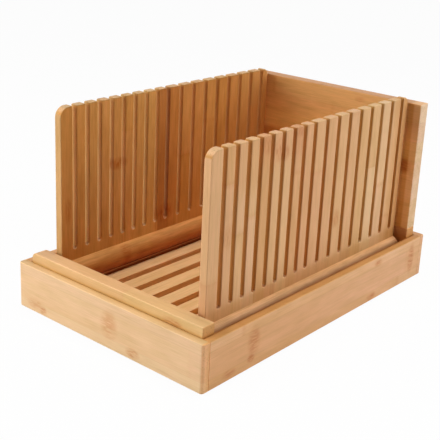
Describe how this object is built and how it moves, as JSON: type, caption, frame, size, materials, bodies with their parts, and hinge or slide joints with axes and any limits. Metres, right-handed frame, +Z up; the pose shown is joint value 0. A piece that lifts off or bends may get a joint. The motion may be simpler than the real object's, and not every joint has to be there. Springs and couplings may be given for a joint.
{
  "type": "bread slicer guide",
  "caption": "Bamboo bread slicer with two fold-in slotted knife guides, a slatted floor and a back board, standing in an open crumb tray.",
  "frame": {"origin": "under the middle of the crumb tray, on the table", "axes": "+X across the loaf to the right, +Y from the front rail to the back board, +Z up"},
  "size_m": [0.227, 0.345, 0.1892],
  "materials": {
    "bamboo_tray": "oiled bamboo board, satin, with darker culm nodes",
    "bamboo_base": "oiled bamboo, satin, end grain speckled",
    "bamboo_floor": "oiled bamboo slats, satin",
    "bamboo_guides": "oiled laminated bamboo, satin, fibres upright",
    "bamboo_rods": "turned bamboo, satin",
    "bamboo_back_board": "oiled laminated bamboo, satin, fibres across",
    "dowel_wood": "plain hardwood dowel, unfinished"
  },
  "bodies": {
    "tray": {"tray_front_board": "bamboo_tray", "tray_rear_board": "bamboo_tray", "tray_left_board": "bamboo_tray", "tray_right_board": "bamboo_tray", "tray_bottom_panel": "bamboo_tray", "tray_corner_dowels": "dowel_wood"},
    "base": {"front_rail": "bamboo_base", "rear_rail": "bamboo_base", "floor_slat_1": "bamboo_floor", "floor_slat_2": "bamboo_floor", "floor_slat_3": "bamboo_floor", "floor_slat_4": "bamboo_floor", "floor_slat_5": "bamboo_floor", "floor_slat_6": "bamboo_floor", "floor_slat_7": "bamboo_floor", "left_board_peg": "dowel_wood", "right_board_peg": "dowel_wood"},
    "left_guide": {"left_guide_board": "bamboo_guides", "left_pivot_rod": "bamboo_rods", "left_front_pivot_pin": "dowel_wood", "left_rear_pivot_pin": "dowel_wood"},
    "right_guide": {"right_guide_board": "bamboo_guides", "right_pivot_rod": "bamboo_rods", "right_front_pivot_pin": "dowel_wood", "right_rear_pivot_pin": "dowel_wood"},
    "back_board": {"back_board": "bamboo_back_board"}
  },
  "joints": [
    {"name": "base_lift", "type": "slide", "parent": "tray", "child": "base", "axis": [0, 0, 1], "range_m": [0, 0.06]},
    {"name": "left_guide_fold", "type": "hinge", "parent": "base", "child": "left_guide", "pos_m": [-0.08765, 0, 0.0305], "axis": [0, 1, 0], "range_deg": [0, 93]},
    {"name": "right_guide_fold", "type": "hinge", "parent": "base", "child": "right_guide", "pos_m": [0.08765, 0, 0.0305], "axis": [0, -1, 0], "range_deg": [0, 87.2]},
    {"name": "back_board_lift", "type": "slide", "parent": "base", "child": "back_board", "axis": [0, 0, 1], "range_m": [0, 0.03]}
  ]
}
